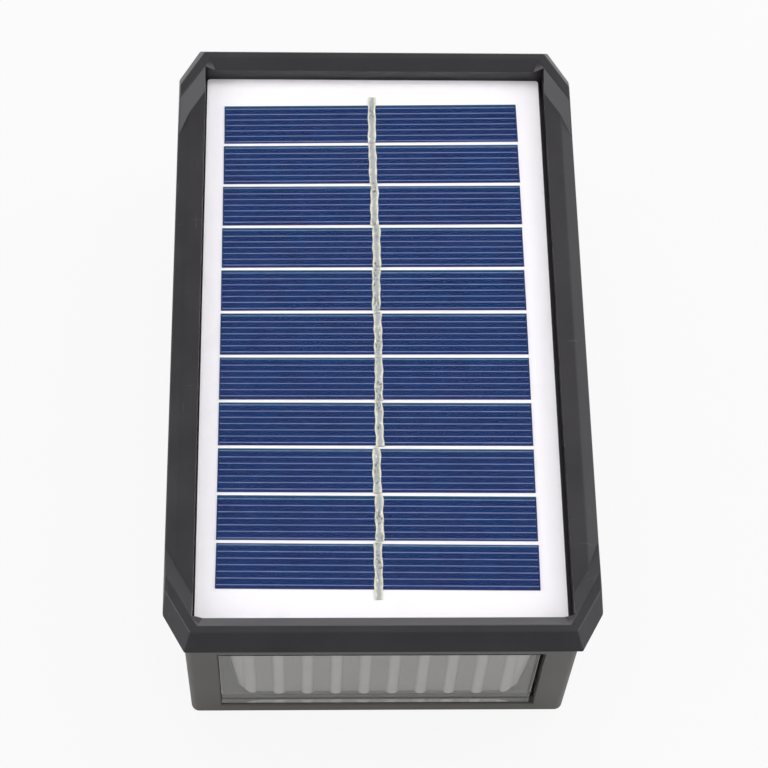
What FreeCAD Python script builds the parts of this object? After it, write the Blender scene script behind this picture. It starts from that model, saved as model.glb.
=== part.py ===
"""Solar fence light: a flat-backed box with a solar panel on its front and a light window in its short end.

Millimetres. The back lies on z = 0, +Z points out of the panel, and -Y is the end with the light window.
The origin is the centre of the back.
"""
import FreeCAD
import Part
import math
import os

Vector = FreeCAD.Vector

# ---------------------------------------------------------------- driving dimensions
# lid, seen from above
lid_width = 104.8             # over the lower edge of the skirt
lid_length = 172.6
skirt_corner_x = 5.3          # cut corner of the skirt's lower edge
skirt_corner_y = 9.4
side_flare = 0.6              # how far the skirt leans out from the rim to its lower edge
end_flare = 3.4
rim_corner_x = 6.3            # cut corner of the raised rim
rim_corner_y = 10.8
rim_band = 1.6                # flat top of the rim at the two ends
corner_band = 2.1             # flat top of the rim along the cut corners
end_ramp_slope = 0.76         # fall of the ramp from the rim to the panel recess
corner_ramp = 3.4             # run of the corner facets from the rim down to the side band
ridge_inset = 3.0             # from the skirt's edge in to the ridge of the side band
bevel_drop = 1.0              # fall of the bevel outside that ridge

# lid, heights
rim_rise = 2.95               # rim above the flat side bands
skirt_height = 4.7            # rim down to the skirt's lower edge
panel_recess = 2.5            # side bands above the panel's surface
tray_floor = 2.0
lip_depth = 3.2               # lip that reaches into the housing
lip_wall = 1.6
lip_clearance = 0.3
tray_rib_height = 3.0
tray_rib_wall = 1.4
tray_ribs_along = 2            # ribs that run the tray's length
tray_ribs_across = 3
lead_hole_radius = 4.0
lead_hole_x = 24.0
lead_hole_y = -24.0

# solar panel
panel_width = 89.1
panel_length = 156.2
panel_corner = 0.8
panel_gap_left = 0.4          # the panel sits against the left and far walls of its recess
panel_gap_right = 1.1
panel_gap_end = 0.3
tape_thickness = 0.5
tape_width = 6.0
board_thickness = 1.5
cover_thickness = 0.4
cell_count = 11
cell_width = 78.0
cell_height = 11.77
cell_gap = 1.0
cell_thickness = 0.2
cell_shift_x = -0.77          # the cell field lies a little off the panel's middle
cell_shift_y = -0.14
cell_fan = 0.13               # degrees that each strip is turned against the one before it
cell_first_turn = -0.5        # degrees, strip next to the light window
ribbon_width = 2.0
ribbon_thickness = 0.1
ribbon_joint = 0.3
ribbon_overrun = 2.2

# housing
housing_width = 95.4
housing_length = 163.6
housing_height = 48.2
housing_wall = 2.4
housing_floor = 2.6
housing_corner = 2.0
back_edge = 1.4
gasket_thickness = 1.0
gasket_width = 2.0
gasket_setback = 0.2

# light window
window_width = 79.5
window_bottom = 5.2
window_height = 35.6
lens_width = 78.2
lens_shift = -0.5
lens_gap_bottom = 0.8
lens_gap_top = 0.2
lens_setback = 0.2
lens_flange_width = 87.0
lens_flange_thickness = 1.5
lens_flange_bottom = 3.0
lens_flange_height = 40.8
lens_seal_thickness = 0.5
mask_thickness = 1.2
mouth_top_width = 75.2
mouth_bottom_width = 69.6
mouth_top = 41.0
mouth_bottom = 7.4
mouth_corner = 6.5
flute_count = 10
flute_pitch = 7.2
flute_width = 3.4
flute_height = 0.8
flute_clearance = 0.4
diffuser_thickness = 1.0
diffuser_margin = 1.6
diffuser_clearance = 0.15

# reflector and LED board
reflector_flange = 2.0
reflector_depth = 16.2
reflector_wall = 1.2
reflector_back_width = 58.0
reflector_back_bottom = 10.5
reflector_back_height = 27.0
led_board_height = 33.0
led_board_thickness = 1.2
led_flange = 1.6
led_screw_gap = 0.13          # from a screw's tip to the horn's wall
led_board_edge = 3.5          # from a screw to the board's edge
led_rows = 2
led_columns = 5
led_pitch_x = 11.0
led_pitch_z = 12.0
led_width = 3.5
led_height = 2.8
led_thickness = 0.8

# screws
screw_clearance = 0.05
housing_screw_radius = 1.5
housing_screw_length = 16.0
housing_screw_head_radius = 2.8
housing_screw_head_height = 2.2
small_screw_radius = 1.0
small_screw_head_radius = 1.9
small_screw_head_height = 1.3
small_screw_length = 5.0
screw_tip_radius = 0.3
screw_hole_spare = 1.0        # how much deeper a blind hole is than its screw
drive_depth = 0.9             # cross recess in each screw head
drive_width = 0.7
drive_margin = 0.8            # from the recess's end to the head's edge
head_edge = 0.5               # rounding of a screw head's upper edge
pillar_radius = 4.4
pillar_top = 38.0
pillar_side_x = 41.0
pillar_front_y = -66.0
pillar_rear_y = 74.0
well_radius = 3.5
well_depth = 30.0
boss_radius = 3.6
boss_gap = 0.2
lens_boss_radius = 2.2
lens_boss_x = 42.4
lens_boss_low = 9.0
lens_boss_high = 37.5
lens_boss_clearance = 0.3

# keyholes in the back
keyhole_rear_y = 45.0
keyhole_front_y = -48.0
keyhole_head_radius = 4.3
keyhole_neck_width = 4.4
keyhole_travel = 8.5
keyhole_skin = 2.0
keyhole_room = 4.6            # depth left for the screw head behind the skin
keyhole_wall = 1.6
keyhole_side_room = 0.6

# push button and its switch
button_x = -20.0
button_y = -19.0
button_radius = 4.9
button_clearance = 0.3
button_recess = 0.5
button_dish_radius = 8.5
button_dish_depth = 0.8
button_flange_radius = 6.0
button_flange_thickness = 0.9
button_travel = 1.0
plunger_radius = 1.5
plunger_length = 3.0
switch_size = 8.0
switch_gap = 0.4
seal_ring_width = 1.6
seal_ring_height = 1.2

# control board
control_width = 66.0
control_length = 36.0
control_thickness = 1.6
control_y = -19.0
control_standoff = 6.4
control_post_radius = 2.6
control_hole_inset = 3.4
chip_width = 5.0
chip_length = 4.0
chip_thickness = 1.6
chip_bevel = 0.3
chip_x = -4.0
inductor_radius = 3.8
inductor_height = 4.2
inductor_x = -16.5
capacitor_radius = 3.15
capacitor_height = 7.7
capacitor_x = 12.0
connector_width = 6.0
connector_depth = 7.0
connector_height = 6.0
connector_x = 6.0             # battery connector to the left of the middle, light connector to the right

# battery
cell_diameter = 18.4
cell_body_length = 65.2
cell_nub_radius = 3.2
cell_nub_height = 1.2
cell_edge = 1.0               # rounding of the battery's two rims
battery_y = 20.0
holder_floor = 1.8
holder_wall = 1.4
holder_side_height = 12.0
holder_clearance = 0.3
spring_length = 4.2
spring_radius = 3.6
spring_wire = 0.7
spring_turns = 3
spring_points = 8             # path points in each turn
contact_thickness = 0.4
contact_width = 9.0
holder_ear = 6.4
holder_post_height = 3.5

# leads
lead_radius = 0.7
lead_spacing = 2.6
panel_lead_high = 36.0        # heights that the panel's leads pass on their way down
panel_lead_middle = 26.0
panel_lead_low = 19.5
panel_lead_bow_x = 3.0
panel_lead_bow_y = 4.0
light_lead_straight = 7.0
light_lead_bow = 12.0
light_lead_bow_x = 2.0
light_lead_drop = 1.0
battery_lead_rise = 9.0       # heights above the contact plates
battery_lead_crest = 13.0
battery_lead_turn = 10.0
battery_lead_low = 5.0
battery_lead_bow = 9.0
battery_lead_inset = 13.0     # how far in from the holder's ends the leads reach their crest
battery_lead_spread = 4.0
battery_lead_reach = 3.0

# ---------------------------------------------------------------- heights and places that follow
lid_seat = housing_height + gasket_thickness
recess_floor = lid_seat + tray_floor
board_bottom = recess_floor + tape_thickness
board_top = board_bottom + board_thickness
panel_top = board_top + cover_thickness
band_z = panel_top + panel_recess
rim_z = band_z + rim_rise
skirt_z = rim_z - skirt_height
recess_width = panel_width + panel_gap_left + panel_gap_right
recess_length = panel_length + 2 * panel_gap_end
panel_x = (panel_gap_left - panel_gap_right) / 2
cell_pitch = cell_height + cell_gap
inner_width = housing_width - 2 * housing_wall
inner_length = housing_length - 2 * housing_wall
front_face = -housing_length / 2
front_inside = front_face + housing_wall
lens_flange_y = front_inside + lens_seal_thickness
mask_y = lens_flange_y + lens_flange_thickness
reflector_y = mask_y + mask_thickness
reflector_back = reflector_y + reflector_flange + reflector_depth
led_board_y = reflector_back + led_flange
led_board_z = reflector_back_bottom + reflector_back_height / 2
horn_slope = (mouth_top_width - reflector_back_width) / 2 / (reflector_back - reflector_y)
led_screw_reach = small_screw_length - led_board_thickness - led_flange
horn_half = reflector_back_width / 2 + horn_slope * led_screw_reach + reflector_wall
led_screw_x = horn_half + led_screw_gap + small_screw_radius
led_board_width = 2 * (led_screw_x + led_board_edge)
control_bottom = housing_floor + control_standoff
control_top = control_bottom + control_thickness
battery_z = housing_floor + holder_floor + holder_clearance + cell_diameter / 2
holder_inner_half = cell_diameter / 2 + holder_clearance
battery_left = -cell_body_length / 2
battery_right = cell_body_length / 2 + cell_nub_height
holder_left = battery_left - spring_length - contact_thickness
holder_right = battery_right + contact_thickness
pillars = [(sx * pillar_side_x, y) for sx in (-1, 1) for y in (pillar_front_y, pillar_rear_y)]
lens_bosses = [(sx * lens_boss_x, z) for sx in (-1, 1) for z in (lens_boss_low, lens_boss_high)]
button_bottom = button_recess
button_flange_z = housing_floor + button_clearance


# ---------------------------------------------------------------- shape helpers
def box(x0, x1, y0, y1, z0, z1):
    return Part.makeBox(x1 - x0, y1 - y0, z1 - z0, Vector(x0, y0, z0))


def centred_box(width, length, z0, z1, x=0.0, y=0.0):
    return box(x - width / 2, x + width / 2, y - length / 2, y + length / 2, z0, z1)


def rod(radius, start, end):
    """A cylinder from one point to another."""
    axis = end.sub(start)
    return Part.makeCylinder(radius, axis.Length, start, axis)


def post(radius, x, y, z0, z1):
    return rod(radius, Vector(x, y, z0), Vector(x, y, z1))


def face_of(points):
    return Part.Face(Part.makePolygon(points + [points[0]]))


def rounded_plate(width, length, radius, z0, z1, x=0.0, y=0.0):
    """An upright plate or block with rounded vertical edges."""
    plate = centred_box(width, length, z0, z1, x, y)
    upright = [e for e in plate.Edges if abs(e.tangentAt(e.FirstParameter).z) > 0.99]
    return plate.makeFillet(radius, upright)


def save(name, *solids):
    """Write one sub-part. Like pieces share a file as separate solids."""
    shape = solids[0] if len(solids) == 1 else Part.makeCompound(list(solids))
    shape.exportStep("parts/" + name + ".step")


# ---------------------------------------------------------------- lid
def cut_corner_outline(width, length, corner_x, corner_y, z):
    """An eight-sided outline: a rectangle with its corners cut off."""
    w, h = width / 2, length / 2
    corners = [(w, h - corner_y), (w - corner_x, h), (corner_x - w, h), (-w, h - corner_y),
               (-w, corner_y - h), (corner_x - w, -h), (w - corner_x, -h), (w, corner_y - h)]
    return Part.makePolygon([Vector(x, y, z) for x, y in corners + corners[:1]])


def lid_envelope():
    """The leaning outer walls, from the skirt's lower edge up to the rim."""
    skirt = cut_corner_outline(lid_width, lid_length, skirt_corner_x, skirt_corner_y, skirt_z)
    rim = cut_corner_outline(lid_width - 2 * side_flare, lid_length - 2 * end_flare,
                             rim_corner_x, rim_corner_y, rim_z)
    return Part.makeLoft([skirt, rim], True, True)


def side_bands():
    """All that lies under the flat side bands and the bevels outside their ridges."""
    edge = lid_width / 2
    ridge = edge - ridge_inset
    floor = skirt_z - bevel_drop
    profile = [(-edge, floor), (edge, floor), (edge, band_z - bevel_drop), (ridge, band_z),
               (-ridge, band_z), (-edge, band_z - bevel_drop)]
    section = face_of([Vector(x, -lid_length / 2, z) for x, z in profile])
    return section.extrude(Vector(0, lid_length, 0))


def end_ramp(end):
    """All that lies under the rim of one end and the ramp inside it."""
    outer = lid_length / 2
    brink = outer - end_flare - rim_band
    foot = brink - (rim_z - skirt_z + bevel_drop) / end_ramp_slope
    floor = skirt_z - bevel_drop
    profile = [(foot, floor), (outer, floor), (outer, rim_z), (brink, rim_z)]
    section = face_of([Vector(-lid_width / 2, end * y, z) for y, z in profile])
    return section.extrude(Vector(lid_width, 0, 0))


def corner_facet(side, end):
    """All that lies under the rim along one cut corner and the facet inside it."""
    along = Vector(-side * rim_corner_x, end * rim_corner_y, 0).normalize()
    outward = Vector(side * rim_corner_y, end * rim_corner_x, 0).normalize()
    rim_end = lid_length / 2 - end_flare
    start = Vector(side * (lid_width / 2 - side_flare), end * (rim_end - rim_corner_y), 0)
    brink = start.sub(outward * corner_band)
    depth = rim_z - skirt_z + bevel_drop
    foot = brink.sub(outward * (depth * corner_ramp / rim_rise))
    reach = brink.add(outward * (rim_corner_x + rim_corner_y))
    floor = skirt_z - bevel_drop
    ends = [Vector(foot.x, foot.y, floor), Vector(reach.x, reach.y, floor),
            Vector(reach.x, reach.y, rim_z), Vector(brink.x, brink.y, rim_z)]
    span = lid_length
    section = face_of([p.sub(along * span) for p in ends])
    return section.extrude(along * (2 * span))


def tray_ribs():
    """Stiffening ribs under the tray."""
    z0 = lid_seat - tray_rib_height
    half_width = inner_width / 2 - lip_clearance
    half_length = inner_length / 2 - lip_clearance
    ribs = []
    for i in range(1, tray_ribs_along + 1):
        x = half_width * (2 * i / (tray_ribs_along + 1) - 1)
        ribs.append(centred_box(tray_rib_wall, 2 * half_length, z0, lid_seat, x))
    for i in range(1, tray_ribs_across + 1):
        y = half_length * (2 * i / (tray_ribs_across + 1) - 1)
        ribs.append(centred_box(2 * half_width, tray_rib_wall, z0, lid_seat, 0, y))
    return ribs


def lid_lip():
    """The lip that drops inside the housing's walls."""
    width = inner_width - 2 * lip_clearance
    length = inner_length - 2 * lip_clearance
    outer = centred_box(width, length, lid_seat - lip_depth, lid_seat)
    inner = centred_box(width - 2 * lip_wall, length - 2 * lip_wall, lid_seat - lip_depth, lid_seat)
    return outer.cut(inner)


def top_frame():
    facets = [corner_facet(side, end) for side in (-1, 1) for end in (-1, 1)]
    crown = side_bands().fuse([end_ramp(-1), end_ramp(1)] + facets)
    crown = crown.common(lid_envelope())
    body = rounded_plate(housing_width, housing_length, housing_corner, lid_seat, skirt_z)
    bosses = [post(boss_radius, x, y, pillar_top + boss_gap, lid_seat) for x, y in pillars]
    lid = crown.fuse([body, lid_lip()] + tray_ribs() + bosses)
    lid = lid.cut(centred_box(recess_width, recess_length, recess_floor, rim_z))
    rib_bottom = lid_seat - tray_rib_height
    lid = lid.cut(post(lead_hole_radius, lead_hole_x, lead_hole_y, rib_bottom, recess_floor))
    hole_end = well_depth + housing_screw_length + screw_hole_spare
    holes = [post(housing_screw_radius + screw_clearance, x, y, pillar_top, hole_end) for x, y in pillars]
    return lid.cut(holes).removeSplitter()


def lid_gasket():
    width = housing_width - 2 * gasket_setback
    length = housing_length - 2 * gasket_setback
    outer = rounded_plate(width, length, housing_corner, housing_height, lid_seat)
    inner = centred_box(width - 2 * gasket_width, length - 2 * gasket_width, housing_height, lid_seat)
    return outer.cut(inner)


# ---------------------------------------------------------------- solar panel
def panel_tape():
    """Foam tape round the edge of the panel's back."""
    outer = centred_box(panel_width, panel_length, recess_floor, board_bottom, panel_x)
    inner = centred_box(panel_width - 2 * tape_width, panel_length - 2 * tape_width,
                        recess_floor, board_bottom, panel_x)
    return outer.cut(inner)


def cell_row_centre(row):
    y = cell_shift_y + (row - (cell_count - 1) / 2) * cell_pitch
    return Vector(panel_x + cell_shift_x, y, 0)


def turned(shape, row):
    """Turn a strip about its own middle: the strips are laid by hand and fan out a little."""
    shape.rotate(cell_row_centre(row), Vector(0, 0, 1), cell_first_turn + row * cell_fan)
    return shape


def solar_cell(row):
    c = cell_row_centre(row)
    strip = centred_box(cell_width, cell_height, board_top, board_top + cell_thickness, c.x, c.y)
    return turned(strip, row)


def cell_ribbon(row):
    """The flat tinned ribbon that joins a strip to the next one."""
    c = cell_row_centre(row)
    y0 = c.y - cell_pitch / 2 + ribbon_joint / 2
    y1 = c.y + cell_pitch / 2 - ribbon_joint / 2
    if row == 0:
        y0 -= ribbon_overrun
    if row == cell_count - 1:
        y1 += ribbon_overrun
    z0 = board_top + cell_thickness
    return box(c.x - ribbon_width / 2, c.x + ribbon_width / 2, y0, y1, z0, z0 + ribbon_thickness)


def solar_panel():
    rows = range(cell_count)
    cells = [solar_cell(row) for row in rows]
    ribbons = [cell_ribbon(row) for row in rows]
    board = rounded_plate(panel_width, panel_length, panel_corner, board_bottom, board_top, panel_x)
    cover = rounded_plate(panel_width, panel_length, panel_corner, board_top, panel_top, panel_x)
    cover = cover.cut(cells + ribbons)
    save("panel_tape", panel_tape())
    save("panel_board", board)
    save("solar_cells", *cells)
    save("cell_ribbons", *ribbons)
    save("panel_cover", cover)


# ---------------------------------------------------------------- housing
def housing_shell():
    outer = rounded_plate(housing_width, housing_length, housing_corner, 0, housing_height)
    back = [e for e in outer.Edges if e.BoundBox.ZMax < 0.01]
    outer = outer.makeFillet(back_edge, back)
    return outer.cut(centred_box(inner_width, inner_length, housing_floor, housing_height))


def keyhole_outline(radius, neck, y, z0, z1):
    """A round entry with a narrower slot that runs up from it."""
    entry = post(radius, 0, y, z0, z1)
    slot = box(-neck / 2, neck / 2, y, y + keyhole_travel, z0, z1)
    end = post(neck / 2, 0, y + keyhole_travel, z0, z1)
    return entry.fuse([slot, end])


def keyhole_block(y):
    """The closed box behind a keyhole, which keeps water out of the housing."""
    reach = keyhole_head_radius + keyhole_side_room + keyhole_wall
    top = keyhole_skin + keyhole_room + keyhole_wall
    return box(-reach, reach, y - reach, y + keyhole_travel + reach, keyhole_skin, top)


def keyhole_cut(y):
    room_radius = keyhole_head_radius + keyhole_side_room
    room = keyhole_outline(room_radius, 2 * room_radius, y, keyhole_skin, keyhole_skin + keyhole_room)
    return room.fuse(keyhole_outline(keyhole_head_radius, keyhole_neck_width, y, 0, keyhole_skin))


def control_holes():
    x = control_width / 2 - control_hole_inset
    y = control_length / 2 - control_hole_inset
    return [(sx * x, control_y + sy * y) for sx in (-1, 1) for sy in (-1, 1)]


def holder_holes():
    reach = holder_wall + holder_ear / 2
    return [(holder_left - reach, battery_y), (holder_right + reach, battery_y)]


def lens_boss(x, z, radius, y0, y1):
    return rod(radius, Vector(x, y0, z), Vector(x, y1, z))


def housing():
    keyholes = (keyhole_front_y, keyhole_rear_y)
    hole = small_screw_radius + screw_clearance
    added = [keyhole_block(y) for y in keyholes]
    added += [post(pillar_radius, x, y, housing_floor, pillar_top) for x, y in pillars]
    added += [post(control_post_radius, x, y, housing_floor, control_bottom) for x, y in control_holes()]
    added += [lens_boss(x, z, lens_boss_radius, front_inside, reflector_y) for x, z in lens_bosses]
    holder_seat = housing_floor + holder_post_height
    added += [post(control_post_radius, x, y, housing_floor, holder_seat) for x, y in holder_holes()]
    body = housing_shell().fuse(added)
    cuts = [keyhole_cut(y) for y in keyholes]
    cuts.append(box(-window_width / 2, window_width / 2, front_face, front_inside,
                    window_bottom, window_bottom + window_height))
    for x, y in pillars:
        cuts.append(post(well_radius, x, y, 0, well_depth))
        cuts.append(post(housing_screw_radius + screw_clearance, x, y, well_depth, pillar_top))
    for x, y in control_holes():
        cuts.append(post(hole, x, y, housing_floor, control_bottom))
    for x, z in lens_bosses:
        cuts.append(lens_boss(x, z, hole, reflector_y - small_screw_length, reflector_y))
    for x, y in holder_holes():
        cuts.append(post(hole, x, y, housing_floor, housing_floor + holder_post_height))
    cuts.append(post(button_radius + button_clearance, button_x, button_y, 0, housing_floor))
    cuts.append(post(button_dish_radius, button_x, button_y, 0, button_dish_depth))
    return body.cut(cuts).removeSplitter()


# ---------------------------------------------------------------- light window
def flange_plate(y0, y1):
    """The plate outline shared by the lens flange, its seal and the mask, notched round the bosses."""
    half = lens_flange_width / 2
    plate = box(-half, half, y0, y1, lens_flange_bottom, lens_flange_bottom + lens_flange_height)
    notch = lens_boss_radius + lens_boss_clearance
    return plate.cut([lens_boss(x, z, notch, y0, y1) for x, z in lens_bosses])


def front_lens():
    x0 = lens_shift - lens_width / 2
    z0 = window_bottom + lens_gap_bottom
    z1 = window_bottom + window_height - lens_gap_top
    face = box(x0, x0 + lens_width, front_face + lens_setback, lens_flange_y, z0, z1)
    return face.fuse(flange_plate(lens_flange_y, mask_y)).removeSplitter()


def lens_seal():
    plate = flange_plate(front_inside, lens_flange_y)
    opening = box(-window_width / 2, window_width / 2, front_inside, lens_flange_y,
                  window_bottom, window_bottom + window_height)
    return plate.cut(opening)


def mouth(y0, y1, shrink=0.0):
    """The tub-shaped mouth of the light: slightly leaning sides and two round lower corners."""
    top = mouth_top_width / 2 - shrink
    low = mouth_bottom_width / 2 - shrink
    z0 = mouth_bottom + shrink
    z1 = mouth_top - shrink
    corners = [(-top, z1), (-low, z0), (low, z0), (top, z1)]
    block = face_of([Vector(x, y0, z) for x, z in corners]).extrude(Vector(0, y1 - y0, 0))
    low_edges = [e for e in block.Edges if abs(e.tangentAt(e.FirstParameter).y) > 0.99
                 and abs(e.CenterOfMass.z - z0) < 0.01]
    return block.makeFillet(mouth_corner - shrink, low_edges)


def light_mask():
    return flange_plate(mask_y, reflector_y).cut(mouth(mask_y, reflector_y))


def diffuser_plate(clearance):
    half = mouth_top_width / 2 + diffuser_margin + clearance
    z0 = mouth_bottom - diffuser_margin - clearance
    z1 = mouth_top + diffuser_margin + clearance
    return box(-half, half, reflector_y, reflector_y + diffuser_thickness + clearance, z0, z1)


def diffuser():
    """A frosted plate with upright flutes that fill the mask's mouth."""
    y0 = reflector_y - flute_height
    flutes = []
    for i in range(flute_count):
        x = (i - (flute_count - 1) / 2) * flute_pitch
        profile = [Vector(x - flute_width / 2, reflector_y, 0), Vector(x, y0, 0),
                   Vector(x + flute_width / 2, reflector_y, 0)]
        arc = Part.Arc(*profile).toShape()
        base = Part.makeLine(profile[2], profile[0])
        face = Part.Face(Part.Wire([arc, base]))
        face.translate(Vector(0, 0, mouth_bottom))
        flutes.append(face.extrude(Vector(0, 0, mouth_top - mouth_bottom)))
    room = mouth(y0, reflector_y, flute_clearance)
    flutes = [flute.common(room) for flute in flutes]
    return diffuser_plate(0).fuse(flutes).removeSplitter()


def upright_outline(half, y, low, high):
    corners = [Vector(-half, y, low), Vector(half, y, low), Vector(half, y, high), Vector(-half, y, high)]
    return Part.makePolygon(corners + corners[:1])


def taper_block(inset, y0, y1):
    """A block that narrows from the mouth towards the LED board."""
    low = reflector_back_bottom + inset
    high = reflector_back_bottom + reflector_back_height - inset
    front = upright_outline(mouth_top_width / 2 - inset, y0, mouth_bottom + inset, mouth_top - inset)
    back = upright_outline(reflector_back_width / 2 - inset, y1, low, high)
    return Part.makeLoft([front, back], True, True)


def reflector():
    half = lens_flange_width / 2
    flange = box(-half, half, reflector_y, reflector_y + reflector_flange,
                 lens_flange_bottom, lens_flange_bottom + lens_flange_height)
    back_flange = box(-led_board_width / 2, led_board_width / 2, reflector_back, led_board_y,
                      led_board_z - led_board_height / 2, led_board_z + led_board_height / 2)
    horn = taper_block(-reflector_wall, reflector_y, reflector_back)
    body = flange.fuse([horn, back_flange])
    light_way = taper_block(0, reflector_y, reflector_back)
    opening = box(-reflector_back_width / 2, reflector_back_width / 2, reflector_back, led_board_y,
                  reflector_back_bottom, reflector_back_bottom + reflector_back_height)
    cuts = [light_way, opening, diffuser_plate(diffuser_clearance)]
    hole = small_screw_radius + screw_clearance
    cuts += [lens_boss(x, z, hole, reflector_y, reflector_y + reflector_flange) for x, z in lens_bosses]
    cuts += [lens_boss(x, z, hole, reflector_back, led_board_y) for x, z in led_board_holes()]
    return body.cut(cuts).removeSplitter()


def led_board_holes():
    return [(-led_screw_x, led_board_z), (led_screw_x, led_board_z)]


def led_board():
    y1 = led_board_y + led_board_thickness
    board = box(-led_board_width / 2, led_board_width / 2, led_board_y, y1,
                led_board_z - led_board_height / 2, led_board_z + led_board_height / 2)
    hole = small_screw_radius + screw_clearance
    return board.cut([lens_boss(x, z, hole, led_board_y, y1) for x, z in led_board_holes()])


def led_chips():
    chips = []
    for row in range(led_rows):
        for column in range(led_columns):
            x = (column - (led_columns - 1) / 2) * led_pitch_x
            z = led_board_z + (row - (led_rows - 1) / 2) * led_pitch_z
            chips.append(box(x - led_width / 2, x + led_width / 2, led_board_y - led_thickness, led_board_y,
                             z - led_height / 2, z + led_height / 2))
    return chips


# ---------------------------------------------------------------- screws
def screw(seat, direction, radius, length, head_radius, head_height):
    """A pan-head screw: seat is the point under its head, direction is the way it is driven."""
    tip = seat.add(direction * (length - radius))
    shank = rod(radius, seat, tip)
    point = Part.makeCone(radius, screw_tip_radius, radius, tip, direction)
    head = rod(head_radius, seat.sub(direction * head_height), seat)
    rim = [e for e in head.Edges if e.Closed and e.CenterOfMass.sub(seat).Length > head_height / 2]
    head = head.makeFillet(head_edge, rim)
    side = Vector(1, 0, 0)
    top = seat.sub(direction * head_height)
    arm_reach = head_radius - drive_margin
    slots = []
    for arm in (side, side.cross(direction)):
        corner = Vector(-arm_reach, -drive_width / 2, 0)
        slot = Part.makeBox(2 * arm_reach, drive_width, drive_depth, corner)
        turn = FreeCAD.Rotation(arm, direction.cross(arm), direction)
        slot.Placement = FreeCAD.Placement(top, turn)
        slots.append(slot)
    return shank.fuse([point, head]).cut(slots)


def small_screw(seat, direction):
    return screw(seat, direction, small_screw_radius, small_screw_length,
                 small_screw_head_radius, small_screw_head_height)


def screws():
    up = Vector(0, 0, 1)
    down = Vector(0, 0, -1)
    forward = Vector(0, -1, 0)
    long_screws = [screw(Vector(x, y, well_depth), up, housing_screw_radius, housing_screw_length,
                         housing_screw_head_radius, housing_screw_head_height) for x, y in pillars]
    save("housing_screws", *long_screws)
    reflector_seat = reflector_y + reflector_flange
    save("reflector_screws", *[small_screw(Vector(x, reflector_seat, z), forward) for x, z in lens_bosses])
    led_seat = led_board_y + led_board_thickness
    save("led_board_screws", *[small_screw(Vector(x, led_seat, z), forward) for x, z in led_board_holes()])
    ear_top = housing_floor + holder_post_height + holder_floor
    ear_screws = [small_screw(Vector(x, y, ear_top), down) for x, y in holder_holes()]
    save("battery_holder_screws", *ear_screws)
    board_screws = [small_screw(Vector(x, y, control_top), down) for x, y in control_holes()]
    save("control_board_screws", *board_screws)


# ---------------------------------------------------------------- push button and switch
def push_button():
    cap_top = button_flange_z + button_flange_thickness
    cap = post(button_radius, button_x, button_y, button_bottom, cap_top)
    rim = [e for e in cap.Edges if e.Closed and e.CenterOfMass.z < button_bottom + 0.01]
    cap = cap.makeFillet(button_recess, rim)
    flange = post(button_flange_radius, button_x, button_y, button_flange_z, cap_top)
    return cap.fuse(flange).removeSplitter()


def switch_bottom():
    return button_flange_z + button_flange_thickness + button_travel + switch_gap


def switch_plunger():
    z0 = button_flange_z + button_flange_thickness
    return post(plunger_radius, button_x, button_y, z0, z0 + plunger_length)


def push_switch():
    z0 = switch_bottom()
    body = centred_box(switch_size, switch_size, z0, control_bottom, button_x, button_y)
    bore_top = button_flange_z + button_flange_thickness + plunger_length + button_travel + button_clearance
    return body.cut(post(plunger_radius + button_clearance, button_x, button_y, z0, bore_top))


def button_seal():
    """A silicone ring on the housing's floor, round the button's flange."""
    inner = button_flange_radius + button_clearance
    z1 = housing_floor + seal_ring_height
    ring = post(inner + seal_ring_width, button_x, button_y, housing_floor, z1)
    return ring.cut(post(inner, button_x, button_y, housing_floor, z1))


# ---------------------------------------------------------------- control board
def control_board():
    board = centred_box(control_width, control_length, control_bottom, control_top, 0, control_y)
    hole = small_screw_radius + screw_clearance
    return board.cut([post(hole, x, y, control_bottom, control_top) for x, y in control_holes()])


def connector_places():
    """Panel, battery and LED connectors, on the board's near, far and middle edges."""
    far = control_y + control_length / 2 - connector_depth
    near = control_y - control_length / 2 + connector_depth
    return {"panel": Vector(lead_hole_x, far - connector_depth, control_top),
            "battery": Vector(-connector_x, far, control_top),
            "light": Vector(connector_x, near, control_top)}


def lead_connectors():
    top = control_top + connector_height
    return [centred_box(connector_width, connector_depth, control_top, top, p.x, p.y)
            for p in connector_places().values()]


def charge_chip():
    top = control_top + chip_thickness
    body = centred_box(chip_width, chip_length, control_top, top, chip_x, control_y)
    upper = [e for e in body.Edges if e.BoundBox.ZMin > top - 0.01]
    return body.makeChamfer(chip_bevel, upper)


def inductor():
    return post(inductor_radius, inductor_x, control_y, control_top, control_top + inductor_height)


def capacitor():
    return post(capacitor_radius, capacitor_x, control_y, control_top, control_top + capacitor_height)


# ---------------------------------------------------------------- battery
def battery_cell():
    body = rod(cell_diameter / 2, Vector(battery_left, battery_y, battery_z),
               Vector(cell_body_length / 2, battery_y, battery_z))
    body = body.makeFillet(cell_edge, [e for e in body.Edges if e.Closed])
    nub = rod(cell_nub_radius, Vector(cell_body_length / 2, battery_y, battery_z),
              Vector(battery_right, battery_y, battery_z))
    return body.fuse(nub).removeSplitter()


def battery_holder():
    half = holder_inner_half + holder_wall
    floor_top = housing_floor + holder_floor
    x0 = holder_left - holder_wall
    x1 = holder_right + holder_wall
    tub = box(x0, x1, battery_y - half, battery_y + half, housing_floor, floor_top + holder_side_height)
    room = box(holder_left, holder_right, battery_y - holder_inner_half, battery_y + holder_inner_half,
               floor_top, floor_top + holder_side_height)
    tub = tub.cut(room)
    ear_z = housing_floor + holder_post_height
    y0 = battery_y - holder_ear / 2
    y1 = battery_y + holder_ear / 2
    ears = [box(x0 - holder_ear, x0, y0, y1, ear_z, ear_z + holder_floor),
            box(x1, x1 + holder_ear, y0, y1, ear_z, ear_z + holder_floor)]
    body = tub.fuse(ears)
    hole = small_screw_radius + screw_clearance
    holes = [post(hole, x, y, ear_z, ear_z + holder_floor) for x, y in holder_holes()]
    return body.cut(holes).removeSplitter()


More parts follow.
